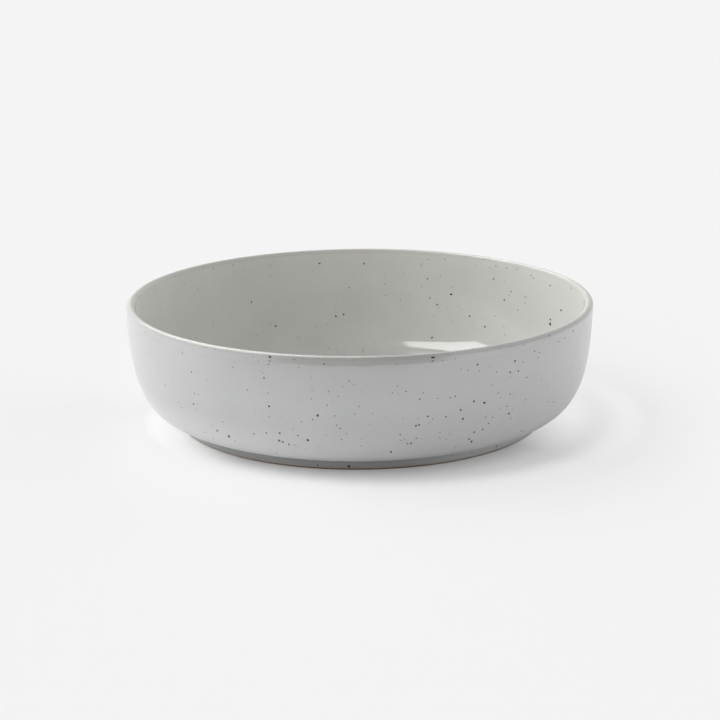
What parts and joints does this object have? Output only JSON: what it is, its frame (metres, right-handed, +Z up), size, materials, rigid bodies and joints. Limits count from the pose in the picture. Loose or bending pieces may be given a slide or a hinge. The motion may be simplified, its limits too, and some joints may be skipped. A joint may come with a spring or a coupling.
{
  "type": "stoneware serving bowl",
  "caption": "Low round stoneware serving bowl with a rounded belly, near-upright wall, lapped lip glaze and a recessed foot ring.",
  "frame": {"origin": "middle of the foot ring's underside, on the surface that the bowl stands on", "axes": "+Z up along the bowl's axis of revolution; the bowl is the same all round, so +X and +Y are any two level directions"},
  "size_m": [0.24, 0.24, 0.063],
  "materials": {
    "clay": "bare fired brown stoneware, matt, ground smooth under the foot",
    "outer_glaze": "satin cool grey glaze with fine brown and black iron specks",
    "liner_glaze": "glossy warm grey-white glaze with fine brown and black iron specks"
  },
  "bodies": {
    "root": {"clay_body": "clay", "foot_ring": "clay", "outer_glaze": "outer_glaze", "liner_glaze": "liner_glaze", "base_glaze": "outer_glaze"}
  },
  "joints": []
}
